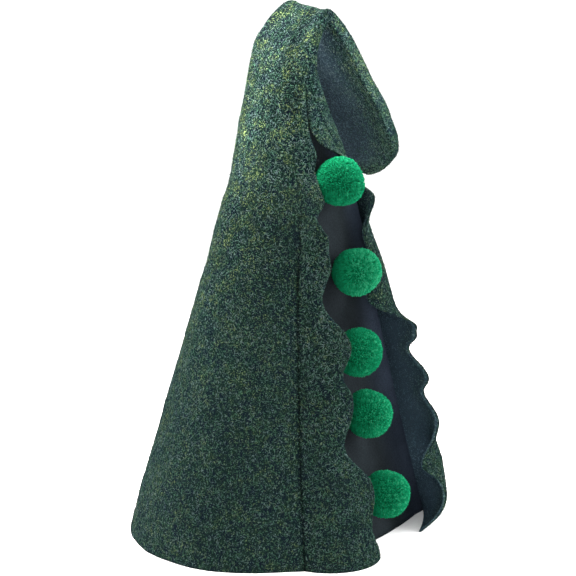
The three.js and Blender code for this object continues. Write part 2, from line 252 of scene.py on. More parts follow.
# Painted light and shade of the lips' faces and backs, and how plain the backs are painted where they lie
# in shade: a painted highlight on the near lip's cut edge, painted shade on the near lip and by the seams,
# painted light on the far lip, on the backs' outer parts and on the flap
CUT_EDGE = 0.001
CUT_PAINTED_HIGHLIGHT = 0.9
LIP_SHADE = 0.08
LIP_MID_PAINTED_SHADE = 0.17
LIP_MID_PAINTED_SHADE_START = (0.05, 0.1)
FAR_LIP_PAINTED_LIGHT = -0.2
BACK_SHADE = 0.009
BACK_SEAM_PAINTED_SHADE = 0.3
BACK_RISE = (0.03, 0.1)
BACK_TOP_PAINTED_SHADE = 0.2
BACK_OUTER = (0.3, 0.9)
BACK_OUTER_PAINTED_LIGHT = 0.35
FLAP_PAINTED_LIGHT = 0.2
PLAIN_FADE = (0.155, 0.185)
PLAIN_LOSS_ABOVE = 0.7
PLAIN_LOSS_OUTSIDE = 0.6

# Noise patterns at a scale per metre, each shifted along one direction to a part of its own
Noise = namedtuple("Noise", "scale detail rough warp shift", defaults=(2.0, 0.5, 0.0, 0.0))
SHIFT_WAY = (1.0, 0.7, -0.4)
GROUND = Noise(260, rough=0.6)
PATCH = Noise(100, detail=3.0, rough=0.6, shift=0.31)
DYE = Noise(340, detail=1.0, shift=0.7)
LEAF = Noise(380, detail=1.0, shift=0.9)
GRAIN = Noise(1400, detail=1.5, rough=0.6, warp=0.5, shift=0.2)
THREAD = Noise(700, detail=1.0, warp=1.2, shift=0.13)
BREAK = Noise(800, detail=1.0, shift=0.53)
CLOTH_NAP = Noise(1300)
CLOTH_BLOTCH = Noise(60, shift=0.3)
FLOOR_NOISE = Noise(3)

# Felt: the ranges of noise that become flecks, threads and patches, and how strong they are
GROUND_RANGE = (0.38, 0.62)
PATCH_SWING = (0.7, 2.2)
DYE_RANGE = (0.42, 0.78)
LEAF_RANGE = (0.42, 0.58)
GRAIN_LEAN = 0.015
FLECK_RANGE = (0.53, 0.69)
THREAD_WIDTH = 0.07
THREAD_CORE = 0.2
BREAK_RANGE = (0.46, 0.62)
DULL_RANGE = (0.0, 0.6)
LIGHT_RANGE = (0.45, 1.05)
RIPE_RANGE = (-0.2, 0.3)
FELT_GAIN = 1.07
# Painted light: brighter flecks on the lit side
SPARK_GAIN = 0.55
SPARK_FROM = 0.4
# Painted shade: how the plain under colour covers and shades the felt, and how the shade mark turns into
# painted light and shade
UNDER_GAIN = (0.75, 1.8)
UNDER_COVER = 0.8
SHADE_GAIN = (1.7, 0.3)

# Painted light: where the felt is painted yellower and livelier, as on its lit upper left side, along a
# direction in metres, and less so up the neck
LIT_SIDE_WAY = (-0.84, 1.36, 1.0)
LIT_SIDE_FROM = (0.15, 0.26)
LIT_SIDE_WARMTH = (0.1, 0.02)
COOL_NECK = (0.235, 0.275)

# Colours of the loose fibres after the darkest, with where each begins and is full on the map
FIBRE_TINTS = (
    ("felt_green", 0.05, 0.35),
    ("felt_leaf", 0.35, 0.55),
    ("felt_pale", 0.55, 0.75),
    ("felt_yellow", 0.78, 0.95),
)

# Other finishes: a range of noise or of the map, and then what it becomes
CLOTH_MATT = (0.2, 0.8, 0.85, 1.0)
NAP_SHADE = (0.25, 0.75, 0.8, 1.2)
BLOTCH_SHADE = (0.3, 0.7, 0.88, 1.12)
# Width of the painted light beside the panel's left seam
LEFT_EDGE = (0.0, 0.32)
# Painted shade at the fibres' roots and painted light at their tips
FIBRE_MATT = (0.0, 1.0, 0.8, 0.95)
FIBRE_SHADE = (0.0, 1.0, 0.8, 1.15)
YARN_MATT = (0.0, 1.0, 0.75, 0.95)
YARN_SHADE = (0.0, 0.6, 0.6, 1.0)
YARN_PALE = (0.55, 1.0, 0.0, 0.8)
# Painted shade at the strands' roots deep in a pompom
YARN_DEPTH = (0.2, 0.95)
FLOOR_SHADE = (0.3, 0.7, 0.985, 1.0)
FLOOR_ROUGH = 0.9
FLOOR_GLOSS = 0.1

# Relief of felt and cloth: height in metres, and strength
FELT_RELIEF = (0.0005, 0.8)
CLOTH_RELIEF = (0.0002, 0.5)

# Map that fibres and strands carry, and the edge of it that they keep clear of
MAP_NAME = "OFBake"
MAP_MARGIN = 0.02

# Lumps of the felt and its loose fibres, in metres and as shares
LUMP_LENGTH = 0.045
SMALL_LUMP_LENGTH = 0.012
SMALL_LUMP_SHARE = 0.35
FIBRE_FROM_HEM = (0.0015, 0.003)
FIBRE_LENGTHS = (0.5, 1.0)
FIBRE_WIDTHS = (0.7, 1.3)
FIBRES_LOST_UNDER = 0.75
FIBRE_BEND = 0.22
LOOSE_SHARE = 0.1
LOOSE_RISE = (0.0003, 0.001)
FLAT_RISE = 0.00005
FIBRE_LIFT = 0.00008
LOWEST_FIBRE = 0.0002
FIBRE_PATCH = 0.03
FIBRE_PATCH_SEED = 5
SMALL_FIBRE_PATCH = 0.012
SMALL_FIBRE_PATCH_SEED = 6
SMALL_FIBRE_PATCH_SHARE = 0.5
FIBRE_PATCH_RANGE = (-0.6, 1.6)
FIBRE_PATCH_SHARE = 0.28
# Painted shade: fibres on shaded under sides are darker
FIBRE_UNDER_PAINTED_SHADE = 0.55

# Pompoms: shares of their radius, lengths of clumps and bulges in metres, and tones on the map, with
# painted shade at the strands' roots and the painted shadow of the near lip over their left sides
PEA_ROOT = 0.72
PEA_CORE = 0.88
PEA_TALL = 0.965
PEA_UNEVEN = 0.03
CLUMP_SEED = 50
CLUMP_LENGTH = 0.0028
CLUMP_HEIGHT = 0.012
CLUMP_TONE = 0.22
BULGE_SEED = 70
BULGE_LENGTH = 0.018
BULGE_HEIGHT = 0.025
STRAND_STRAY = 0.018
STRAND_LEAN = 0.07
STRAND_POINT = 1.4
STRAND_WIDTHS = (0.8, 1.2)
STRAND_TONE = 0.3
CORE_DETAIL = 4
CORE_SPOT = (0.4, 0.3)
PEA_PAINTED_SHADOW = 0.6
PEA_PAINTED_SHADOW_TO = (-0.1, 0.9)

# Height on the axis that camera and lights are placed from, and the camera's aim beside it, in metres
AXIS_HEIGHT = 0.15
AIM_LEFT = 0.00336
AIM_DOWN = 0.01131

# Lights: place and aim from the hat's axis and side in metres, spread in degrees, and colour
Light = namedtuple("Light", "name right toward up aim_right aim_up size spread tint")
LIGHTS = (
    Light("key", -0.06, 0.04, 0.3, 0.0, 0.135, 0.1, 90, (1.0, 0.9, 0.86)),
    Light("side", -0.145, -0.01, 0.2, 0.0, 0.11, 0.12, 90, (1.0, 0.93, 0.82)),
    Light("rim", -0.79, -0.55, 0.26, 0.0, 0.0, 0.4, 120, (1.0, 0.88, 0.92)),
    Light("right", 0.89, -0.1, 0.42, 0.0, 0.0, 0.8, 120, (1.0, 1.0, 1.0)),
    Light("tip", 0.23, 0.12, 0.15, 0.05, 0.105, 0.05, 30, (1.0, 1.0, 0.95)),
    Light("fill", 0.0, 1.0, 0.25, 0.0, 0.0, 0.3, 120, (1.0, 1.0, 1.0)),
)


# Shape functions

def column(rows, name, run):
    """Value of a column at lengths along its rows, on a smooth curve through them."""
    knots = rows["run"]
    values = rows[name]
    at = np.clip(run, knots[0], knots[-1])
    k = np.clip(np.searchsorted(knots, at) - 1, 0, len(knots) - 2)
    before = np.maximum(k - 1, 0)
    after = np.minimum(k + 2, len(knots) - 1)
    span = knots[k + 1] - knots[k]
    f = (at - knots[k]) / span
    slope_low = span * (values[k + 1] - values[before]) / (knots[k + 1] - knots[before])
    slope_high = span * (values[after] - values[k]) / (knots[after] - knots[k])
    rise = f * f * (3 - 2 * f)
    leave = f * (1 - f) ** 2
    arrive = f * f * (f - 1)
    return values[k] + (values[k + 1] - values[k]) * rise + slope_low * leave + slope_high * arrive


def smooth(value, low, high):
    """Smooth step from 0 at low to 1 at high."""
    f = np.clip((value - low) / (high - low), 0, 1)
    return f * f * (3 - 2 * f)


def bell(value, width):
    """Bell curve that is 1 at 0 and small past its width."""
    return np.exp(-((value / width) ** 2))


def unit(vectors):
    """Vectors made one long."""
    return vectors / np.maximum(np.linalg.norm(vectors, axis=-1, keepdims=True), SHORTEST)


def middle_at(run):
    """Middle of the section at lengths along the crown."""
    lean = column(SECTIONS, "lean", run)[..., None]
    rise = column(SECTIONS, "rise", run)[..., None]
    return lean * FLOP + rise * UP


def section_at(run):
    """Sections of the crown: their middles, axes and sizes."""
    step = 0.0005
    ahead = middle_at(np.minimum(run + step, TIP_LAST))
    along = unit(ahead - middle_at(np.maximum(np.minimum(run, TIP_LAST) - step, 0)))
    section = {name: column(SECTIONS, name, run) for name in ("deep", "across", "curl", "cant", "blunt")}
    section["run"] = run
    section["middle"] = middle_at(run)
    section["along"] = along
    section["thick"] = FLOP * (along @ UP)[..., None] - UP * (along @ FLOP)[..., None]
    section["front"] = column(FRONT, "front", run)
    section["seam"] = np.where(run < SEAM_TOP, column(FRONT, "seam", run), 0.0)
    return section


def tip_end(share):
    """Sections past the last row: the rounded end of the tip with its rim turned under."""
    section = section_at(np.full_like(share, TIP_LAST))
    bend = share * math.pi / 2
    reach = TIP_END_LENGTH * np.sin(bend)[..., None]
    under = (section["curl"] * np.sin(bend) ** 2)[..., None]
    section["run"] = TIP_LAST + reach[..., 0]
    section["middle"] = section["middle"] + section["along"] * reach + section["thick"] * under
    section["across"] = section["across"] * np.cos(bend)
    section["deep"] = section["deep"] * (1 + TIP_END_ROLL * share ** 3) * np.sqrt(1 - share ** 8)
    section["curl"] = section["curl"] * np.cos(bend) ** 2
    return section


def from_seam(section, turn):
    """Angle past the nearer front seam at an angle from the front line, in degrees."""
    return np.abs((turn + 540) % 360 - 180) - section["seam"]


def fullness(section, turn):
    """Share of the radius at an angle from the front line: drawn in at the seams, swelling beside them."""
    aside = from_seam(section, turn)
    fade = 1 - smooth(section["run"], CREASE_FADE_FROM, CREASE_FADE_TO)
    pinch = SEAM_PINCH * bell(aside, SEAM_PINCH_WIDTH)
    belly = SIDE_BELLY * bell(aside - SIDE_BELLY_FROM_SEAM, SIDE_BELLY_WIDTH)
    return 1 + fade * (belly - pinch)


def section_point(section, turn, share, inset):
    """Points of sections at angles from the front line, a share of the radius out and an inset in."""
    angle = np.radians(section["front"] + turn)
    cosine = np.cos(angle)
    sine = np.sin(angle)
    square = np.sign(cosine) * np.abs(cosine) ** (1 - PRESSED_EDGE * section["blunt"])
    swell = 1 + EDGE_ROLL * section["blunt"] * sine ** EDGE_ROLL_POWER
    deep = (section["deep"] - inset) * share * square * swell
    across = (section["across"] - inset) * share * sine
    turned = section["curl"] * sine ** 2 + section["cant"] * sine
    return section["middle"] + section["thick"] * (deep + turned)[..., None] + KEEL * across[..., None]


def arc_radius(section, turn):
    """Radius by which an angle from the front line is turned into a length along the crown."""
    angle = np.radians(section["front"] + turn)
    return np.hypot(section["deep"] * np.sin(angle), section["across"] * np.cos(angle))


def scallop(crests, run):
    """Depth of the scallop at lengths along a lip, none at a crest."""
    knots = crests["run"]
    k = np.clip(np.searchsorted(knots, run) - 1, 0, len(knots) - 2)
    between = (run - knots[k]) / (knots[k + 1] - knots[k])
    return crests["valley"][k] * np.sin(math.pi * between) ** 2


def lip_base(crests, section, side):
    """Arc radius at a lip's seam, the angle at which the lip is sewn, and the angle of its crests."""
    arc = arc_radius(section, side * section["seam"])
    sewn = section["seam"] - np.degrees(SEWN_CLOSE / arc)
    return arc, sewn, column(crests, "open", section["run"])


def lip_width(crests, section, side):
    """Width of a lip from its seam to its scalloped edge, and the share of it that the scallop takes."""
    arc, sewn, crest = lip_base(crests, section, side)
    rise = column(crests, "out", section["run"]) - fullness(section, section["seam"])
    width = np.hypot(np.radians(sewn - crest) * arc, rise * arc)
    cut = np.minimum(scallop(crests, section["run"]) / width, DEEPEST_SCALLOP)
    return width * (1 - cut), cut


def lip_point(crests, side, section, s, inset):
    """Points of a lip from its seam at 0 to its edge at 1; side is 1 on the right and -1 on the left."""
    _, sewn, crest = lip_base(crests, section, side)
    at_seam = fullness(section, section["seam"])
    at_edge = column(crests, "out", section["run"])
    belly = column(crests, "belly", section["run"])
    reach = s * (1 - lip_width(crests, section, side)[1])
    turn = sewn - np.maximum(sewn - crest, NARROWEST_LIP * sewn) * reach
    share = at_seam * (1 - reach) ** 2 + 2 * belly * reach * (1 - reach) + at_edge * reach ** 2
    return section_point(section, side * turn, share, inset)


def panel_point(run, s, depth, felt):
    """Points of the panel from the left seam at 0 to the right seam at 1, a depth behind its face."""
    section = section_at(run)
    turn = section["seam"] + np.degrees(PANEL_TUCK / section["across"])
    share = fullness(section, turn)
    left = section_point(section, -turn, share, felt + SEWN_GAP)
    right = section_point(section, turn, share, felt + SEWN_GAP)
    out = -unit(np.cross(right - left, UP))
    bow = column(PANEL_BOW, "out", run) * 4 * s * (1 - s)
    return left + (right - left) * s[..., None] + out * (bow - depth)[..., None]


def pea_middle(k, felt, radius):
    """Middle of a pea that rests against the panel, before the hat is stood over the origin."""
    run = np.array([[PEAS["run"][k]]])
    s = np.array([[(PEAS["aside"][k] + 1) / 2]])
    step = 0.002
    across = panel_point(run, s + step, 0, felt) - panel_point(run, s - step, 0, felt)
    rise = step * PANEL_TOP
    upward = panel_point(run + rise, s, 0, felt) - panel_point(run - rise, s, 0, felt)
    return (panel_point(run, s, 0, felt) + unit(np.cross(upward, across)) * (radius + PEA_GAP))[0, 0]


def box_middle(node):
    """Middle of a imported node's box."""
    low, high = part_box(node)
    return np.array((low + high) / 2)


PEA_RADIUS = (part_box("pea_1")[1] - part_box("pea_1")[0]).z / 2
FELT = 0.0026
HAT_SHIFT = box_middle("pea_1") - pea_middle(0, FELT, PEA_RADIUS)


# Mesh helpers

def grid_faces(rows, columns, start=0):
    """Quads of a grid of points laid row by row."""
    i, j = np.meshgrid(np.arange(rows - 1), np.arange(columns - 1), indexing="ij")
    corner = (start + i * columns + j).ravel()
    return np.stack([corner, corner + 1, corner + columns + 1, corner + columns], axis=1)


def strip_faces(one, other):
    """Quads between two lines of points."""
    return np.stack([one[:-1], one[1:], other[1:], other[:-1]], axis=1)


def sheet_faces(rows, columns):
    """Quads of a closed sheet: its face, its back in the points after it, and the edges between them."""
    start = rows * columns
    face = np.arange(start).reshape(rows, columns)
    back = face + start
    return np.vstack([
        grid_faces(rows, columns),
        grid_faces(rows, columns, start)[:, ::-1],
        strip_faces(back[0], face[0]),
        strip_faces(face[-1], back[-1]),
        strip_faces(face[:, 0], back[:, 0]),
        strip_faces(back[:, -1], face[:, -1]),
    ])


def rounding(distance, radius):
    """How far a rounded edge is drawn in at a distance from it."""
    left = radius - np.minimum(distance, radius)
    return radius - np.sqrt(np.maximum(radius ** 2 - left ** 2, 0))


def waves(points, length, seed):
    """Smooth field between about -1 and 1 with bumps of a given length, the same each time."""
    rng = np.random.default_rng(seed)
    total = np.zeros(len(points))
    for _ in range(WAVE_COUNT):
        way = unit(rng.normal(size=3)) * 2 * math.pi / (length * rng.uniform(*WAVE_LENGTHS))
        total += np.sin(points @ way + rng.uniform(0, 2 * math.pi))
    return total / math.sqrt(WAVE_COUNT)


def add_piece(name, points, faces, marks=None, material=None, weld=False):
    """New mesh object from points and faces, with a number at each point for each mark."""
    mesh = bpy.data.meshes.new(name)
    mesh.from_pydata(points.tolist(), [], faces.tolist())
    for mark, values in (marks or {}).items():
        layer = mesh.attributes.new(mark, "FLOAT", "POINT")
        layer.data.foreach_set("value", np.asarray(values, np.float32).ravel())
    if weld:
        shell = bmesh.new()
        shell.from_mesh(mesh)
        bmesh.ops.remove_doubles(shell, verts=shell.verts, dist=WELD_DISTANCE)
        bmesh.ops.dissolve_degenerate(shell, edges=shell.edges, dist=SLIVER_DISTANCE)
        bmesh.ops.recalc_face_normals(shell, faces=shell.faces)
        shell.to_mesh(mesh)
        shell.free()
    mesh.shade_smooth()
    piece = bpy.data.objects.new(name, mesh)
    bpy.context.scene.collection.objects.link(piece)
    if material:
        mesh.materials.append(material)
    return piece


def read_vectors(items, name):
    """A vector for each point of a mesh, such as its place or its normal."""
    values = np.zeros(len(items) * 3, np.float32)
    items.foreach_get(name, values)
    return values.reshape(-1, 3).astype(float)


def read_mark(mesh, mark):
    """A mark's number at each point of a mesh."""
    values = np.zeros(len(mesh.vertices), np.float32)
    mesh.attributes[mark].data.foreach_get("value", values)
    return values


def raise_lumps(piece, height, seed):
    """Uneven swelling of the felt on the outer face of a piece, kept above the floor."""
    mesh = piece.data
    points = read_vectors(mesh.vertices, "co")
    broad = waves(points, LUMP_LENGTH, seed)
    small = waves(points, SMALL_LUMP_LENGTH, seed + 1)
    lift = height * (broad + SMALL_LUMP_SHARE * small) * read_mark(mesh, "nap")
    raised = points + read_vectors(mesh.vertex_normals, "vector") * lift[:, None]
    raised[:, 2] = np.maximum(raised[:, 2], 0)
    mesh.vertices.foreach_set("co", raised.astype(np.float32).ravel())
    mesh.update()


def finish_piece(piece, slot, *nodes):
    """Hangs a piece on the hat's one body and hides the imported nodes it stands for; slot is not used."""
    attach(piece, "root")
    if nodes:
        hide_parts(*nodes)


# Material helpers

def new_material(name):
    """Material with an empty node tree and one Principled shader at its end."""
    material = bpy.data.materials.new(name)
    material.use_nodes = True
    tree = material.node_tree
    tree.nodes.clear()
    end = tree.nodes.new("ShaderNodeOutputMaterial")
    shader = tree.nodes.new("ShaderNodeBsdfPrincipled")
    tree.links.new(shader.outputs["BSDF"], end.inputs["Surface"])
    return material, tree, shader


def put(tree, socket, value):
    """Links a socket to another node's output, or sets it to a number or to a colour with full alpha."""
    if isinstance(value, bpy.types.NodeSocket):
        tree.links.new(value, socket)
    elif socket.type == "RGBA":
        socket.default_value = (*value, 1.0)
    else:
        socket.default_value = value


def noise(tree, where, kind):
    """One of the noise patterns."""
    place = tree.nodes.new("ShaderNodeVectorMath")
    place.operation = "ADD"
    tree.links.new(where, place.inputs[0])
    place.inputs[1].default_value = [kind.shift * part for part in SHIFT_WAY]
    node = tree.nodes.new("ShaderNodeTexNoise")
    tree.links.new(place.outputs[0], node.inputs["Vector"])
    node.inputs["Scale"].default_value = kind.scale
    node.inputs["Detail"].default_value = kind.detail
    node.inputs["Roughness"].default_value = kind.rough
    node.inputs["Distortion"].default_value = kind.warp
    return node.outputs["Fac"]


def maths(tree, operation, a, b=0.0):
    """One step of arithmetic on two numbers."""
    node = tree.nodes.new("ShaderNodeMath")
    node.operation = operation
    put(tree, node.inputs[0], a)
    put(tree, node.inputs[1], b)
    return node.outputs[0]


def remap(tree, value, low, high, to_low=0.0, to_high=1.0):
    """Smooth change from one range to another."""
    node = tree.nodes.new("ShaderNodeMapRange")
    node.interpolation_type = "SMOOTHSTEP"
    for socket, number in zip(node.inputs, (value, low, high, to_low, to_high)):
        put(tree, socket, number)
    return node.outputs[0]


def mix(tree, share, a, b, blend="MIX"):
    """Blend of two colours."""
    node = tree.nodes.new("ShaderNodeMix")
    node.data_type = "RGBA"
    node.blend_type = blend
    put(tree, node.inputs["Factor"], share)
    for name, value in (("A", a), ("B", b)):
        socket = next(s for s in node.inputs if s.name == name and s.type == "RGBA")
        put(tree, socket, value)
    return next(s for s in node.outputs if s.type == "RGBA")


def times(tree, tint, factor):
    """A colour multiplied by a pattern, or by another colour."""
    return mix(tree, 1.0, tint, factor, "MULTIPLY")


def squiggles(tree, where):
    """Thin curling lines, as of single fibres: 1 on a line and 0 off it."""
    away = maths(tree, "ABSOLUTE", maths(tree, "SUBTRACT", noise(tree, where, THREAD), 0.5))
    return remap(tree, away, THREAD_WIDTH, THREAD_WIDTH * THREAD_CORE)


def mark_value(tree, name):
    """A mark of the mesh as a number."""
    node = tree.nodes.new("ShaderNodeAttribute")
    node.attribute_name = name
    return node.outputs["Fac"]


def bumped(tree, shader, height, distance, strength):
    """Relief from a pattern, in metres."""
    node = tree.nodes.new("ShaderNodeBump")
    node.inputs["Distance"].default_value = distance
    node.inputs["Strength"].default_value = strength
    tree.links.new(height, node.inputs["Height"])
    tree.links.new(node.outputs["Normal"], shader.inputs["Normal"])


def map_parts(tree):
    """The two numbers of the map that fibres and strands carry: their kind, and root to tip."""
    where = tree.nodes.new("ShaderNodeUVMap")
    where.uv_map = MAP_NAME
    split = tree.nodes.new("ShaderNodeSeparateXYZ")
    tree.links.new(where.outputs["UV"], split.inputs[0])
    return split.outputs["X"], split.outputs["Y"]


def matt_finish(tree, shader, tint, shade, rough):
    """Colour times shade, with an uneven roughness and no gloss."""
    tree.links.new(times(tree, tint, shade), shader.inputs["Base Color"])
    tree.links.new(rough, shader.inputs["Roughness"])
    shader.inputs["Specular IOR Level"].default_value = 0.0


# Materials

def mottled_felt(paint):
    """Wool felt: light flecks and threads on a dark ground, yellower in patches; painted light makes it
    yellower and livelier on its lit side, painted shade makes it plainer and bluer on under sides, and the
    shade mark paints light and shade.
    """
    material, tree, shader = new_material("mottled_felt")
    where = tree.nodes.new("ShaderNodeTexCoord").outputs["Object"]
    green = remap(tree, noise(tree, where, GROUND), *GROUND_RANGE)
    split = tree.nodes.new("ShaderNodeSeparateXYZ")
    tree.links.new(where, split.inputs[0])
    # Painted light on the lit upper left side: warmer dye, stronger patches and brighter flecks, less so up
    # the neck
    lit_way = tree.nodes.new("ShaderNodeVectorMath")
    lit_way.operation = "DOT_PRODUCT"
    tree.links.new(where, lit_way.inputs[0])
    lit_way.inputs[1].default_value = LIT_SIDE_WAY
    lit_side = remap(tree, lit_way.outputs["Value"], *LIT_SIDE_FROM)
    lit_warmth = maths(tree, "MULTIPLY", lit_side, remap(tree, split.outputs["Z"], *COOL_NECK, *LIT_SIDE_WARMTH))
    patch = maths(tree, "SUBTRACT", noise(tree, where, PATCH), 0.5)
    swing = maths(tree, "MULTIPLY", patch, remap(tree, lit_side, 0.0, 1.0, *PATCH_SWING))
    dye = maths(tree, "ADD", noise(tree, where, DYE), lit_warmth)
    warm = remap(tree, maths(tree, "ADD", swing, dye), *DYE_RANGE)
    grain = noise(tree, where, GRAIN)
    lean = maths(tree, "MULTIPLY", maths(tree, "SUBTRACT", green, 0.5), GRAIN_LEAN)
    fleck = remap(tree, maths(tree, "ADD", grain, lean), *FLECK_RANGE)
    thread = squiggles(tree, where)
    broken = remap(tree, noise(tree, where, BREAK), *BREAK_RANGE)
    level = maths(tree, "MAXIMUM", fleck, maths(tree, "MULTIPLY", thread, broken))

    leafy = remap(tree, noise(tree, where, LEAF), *LEAF_RANGE)
    light = mix(tree, warm, mix(tree, leafy, paint.felt_pale, paint.felt_leaf), paint.felt_yellow)
    tint = mix(tree, green, paint.felt_navy, paint.felt_dark)
    tint = mix(tree, remap(tree, level, *DULL_RANGE), tint, paint.felt_green)
    tint = mix(tree, remap(tree, level, *LIGHT_RANGE), tint, light)
    painted_sparkle = maths(tree, "MULTIPLY", lit_side, maths(tree, "SUBTRACT", level, SPARK_FROM))
    painted_sparkle = maths(tree, "MULTIPLY", painted_sparkle, SPARK_GAIN)
    gain = maths(tree, "ADD", FELT_GAIN, maths(tree, "ADD", swing, painted_sparkle))
    # Yellower hue in random patches, and as painted warm light on the lit side
    ripe = remap(tree, maths(tree, "ADD", swing, lit_warmth), *RIPE_RANGE)
    hue = mix(tree, ripe, paint.felt_cool, paint.felt_ripe)
    tint = times(tree, times(tree, tint, hue), gain)

    # Painted shade: a plain, bluish colour on under sides and in the hollow, then the shade mark's painted
    # light and shade
    dim = times(tree, paint.felt_under, remap(tree, level, 0.0, 1.0, *UNDER_GAIN))
    tint = mix(tree, maths(tree, "MULTIPLY", mark_value(tree, "under"), UNDER_COVER), tint, dim)
    shade = remap(tree, mark_value(tree, "shade"), -1.0, 1.0, *SHADE_GAIN)
    matt_finish(tree, shader, tint, shade, remap(tree, grain, *CLOTH_MATT))
    bumped(tree, shader, maths(tree, "ADD", level, grain), *FELT_RELIEF)
    return material


def loose_fibres(paint):
    """Single wool fibres whose colour comes from their place on the map, dark to pale to yellow."""
    material, tree, shader = new_material("loose_fibres")
    kind, along = map_parts(tree)
    tint = paint.felt_navy
    for name, begins, full in FIBRE_TINTS:
        tint = mix(tree, remap(tree, kind, begins, full), tint, getattr(paint, name))
    # Painted shade at each fibre's root and painted light at its tip
    shade = remap(tree, along, *FIBRE_SHADE)
    matt_finish(tree, shader, tint, shade, remap(tree, kind, *FIBRE_MATT))
    return material


def dark_cloth(paint):
    """Plain dark cloth with a faint nap, paler and bluer beside the left seam, which is painted light
    against the shade of the far lip.
    """
    material, tree, shader = new_material("dark_cloth")
    where = tree.nodes.new("ShaderNodeTexCoord").outputs["Object"]
    nap = noise(tree, where, CLOTH_NAP)
    blotch = noise(tree, where, CLOTH_BLOTCH)
    inward = remap(tree, mark_value(tree, "across"), *LEFT_EDGE)
    tint = mix(tree, inward, paint.panel_left, paint.panel_right)
    fine = remap(tree, nap, *NAP_SHADE)
    shade = maths(tree, "MULTIPLY", fine, remap(tree, blotch, *BLOTCH_SHADE))
    matt_finish(tree, shader, tint, shade, remap(tree, nap, *CLOTH_MATT))
    bumped(tree, shader, nap, *CLOTH_RELIEF)
    return material


def pompom_yarn(paint):
    """Dense green yarn whose colour comes from its place on the map: kind across, root to tip upwards."""
    material, tree, shader = new_material("pompom_yarn")
    kind, along = map_parts(tree)
    # Painted shade deep in the pompom: strands darker towards their roots
    tint = mix(tree, remap(tree, along, *YARN_DEPTH), paint.pea_deep, paint.pea_green)
    tint = mix(tree, remap(tree, kind, *YARN_PALE), tint, paint.pea_tip)
    shade = remap(tree, kind, *YARN_SHADE)
    matt_finish(tree, shader, tint, shade, remap(tree, kind, *YARN_MATT))
    return material


def pale_floor(paint):
    """Plain pale floor with a barely uneven tone."""
    material, tree, shader = new_material("pale_floor")
    where = tree.nodes.new("ShaderNodeTexCoord").outputs["Object"]
    tone = remap(tree, noise(tree, where, FLOOR_NOISE), *FLOOR_SHADE)
    tree.links.new(times(tree, paint.floor, tone), shader.inputs["Base Color"])
    shader.inputs["Roughness"].default_value = FLOOR_ROUGH
    shader.inputs["Specular IOR Level"].default_value = FLOOR_GLOSS
    return material


def shared(finish, paint):
    """A finish that is made once and then used again."""
    return bpy.data.materials.get(finish.__name__) or finish(paint)


# Properties

def length_property(name, description, default):
    """A size in metres."""
    return FloatProperty(name=name, description=description, default=default, unit="LENGTH", precision=4)


def colour_property(name, description, default):
    """A colour in linear light."""
    return FloatVectorProperty(name=name, description=description, default=default, size=3,
                               min=0.0, max=1.0, subtype="COLOR")


def power_property(name, description, default):
    """Power of a light in watts."""
    return FloatProperty(name=name, description=description, default=default, unit="POWER")


class PodHatSizes(PropertyGroup):
    """Sizes of the hat's cloth, fibres and yarn."""

    felt: length_property("Felt", "Thickness of the green felt", FELT)
    panel: length_property("Panel", "Thickness of the dark panel", 0.0016)
    edge_round: length_property("Edge Round", "Radius of the cut edges of the felt", 0.0009)
    sewn_round: length_property("Sewn Round", "Radius of the felt's edges along the front seams", 0.0004)
    lump_height: length_property("Lumps", "Height of the uneven swelling of the felt", 0.0004)
    fibre_length: length_property("Fibre", "Longest loose fibre on the felt", 0.0028)
    fibre_width: length_property("Fibre Width", "Width of a loose fibre at its middle", 0.0003)
    pea_radius: length_property("Pea Radius", "Radius of a pompom", PEA_RADIUS)
    strand_width: length_property("Strand Width", "Width of a pompom strand at its tip", 0.00078)
    floor_radius: length_property("Floor", "Radius of the floor", 15.0)
    crown_fibres: IntProperty(name="Crown Fibres", description="Loose fibres on the crown", default=30000)
    lip_fibres: IntProperty(name="Lip Fibres", description="Loose fibres on each lip", default=4500)
    pea_strands: IntProperty(name="Pea Strands", description="Strands of a pompom", default=6000)


class PodHatColours(PropertyGroup):
    """Colours of the hat's finishes and of its floor."""

    felt_dark: colour_property("Felt Dark", "Greener ground of the felt", (0.0047, 0.0111, 0.0088))
    felt_green: colour_property("Felt Green", "Dull green of the felt", (0.0118, 0.0260, 0.0220))
    felt_leaf: colour_property("Felt Leaf", "Leaf-green flecks", (0.031, 0.074, 0.048))
    felt_pale: colour_property("Felt Pale", "Pale grey flecks", (0.061, 0.094, 0.093))
    felt_yellow: colour_property("Felt Yellow", "Yellow-green flecks", (0.065, 0.095, 0.044))
    felt_navy: colour_property("Felt Navy", "Bluer ground of the felt", (0.0038, 0.0071, 0.0102))
    felt_cool: colour_property("Felt Cool", "Filter over the felt's cooler patches", (0.90, 0.94, 1.00))
    felt_ripe: colour_property("Felt Ripe", "Filter over the felt's yellower patches", (1.00, 0.98, 0.80))
    # Painted shade look of under sides and the hollow: plain and bluish, bright enough to stand in for the
    # light they get
    felt_under: colour_property("Felt Under", "Smoother under side of the felt", (0.048, 0.080, 0.110))
    # Painted light: paler and bluer beside the left seam, against the shade of the far lip
    panel_left: colour_property("Panel Left", "Panel beside the wearer's left seam", (0.026, 0.035, 0.052))
    panel_right: colour_property("Panel Right", "The rest of the panel", (0.0115, 0.0150, 0.0172))
    # Painted shade at the strands' roots
    pea_deep: colour_property("Pea Deep", "Root of the pompom strands", (0.0015, 0.064, 0.027))
    pea_green: colour_property("Pea Green", "Pompom strands", (0.0045, 0.154, 0.065))
    pea_tip: colour_property("Pea Tip", "Paler strands", (0.024, 0.248, 0.120))
    floor: colour_property("Floor", "Plain pale floor", (0.96, 0.96, 0.96))


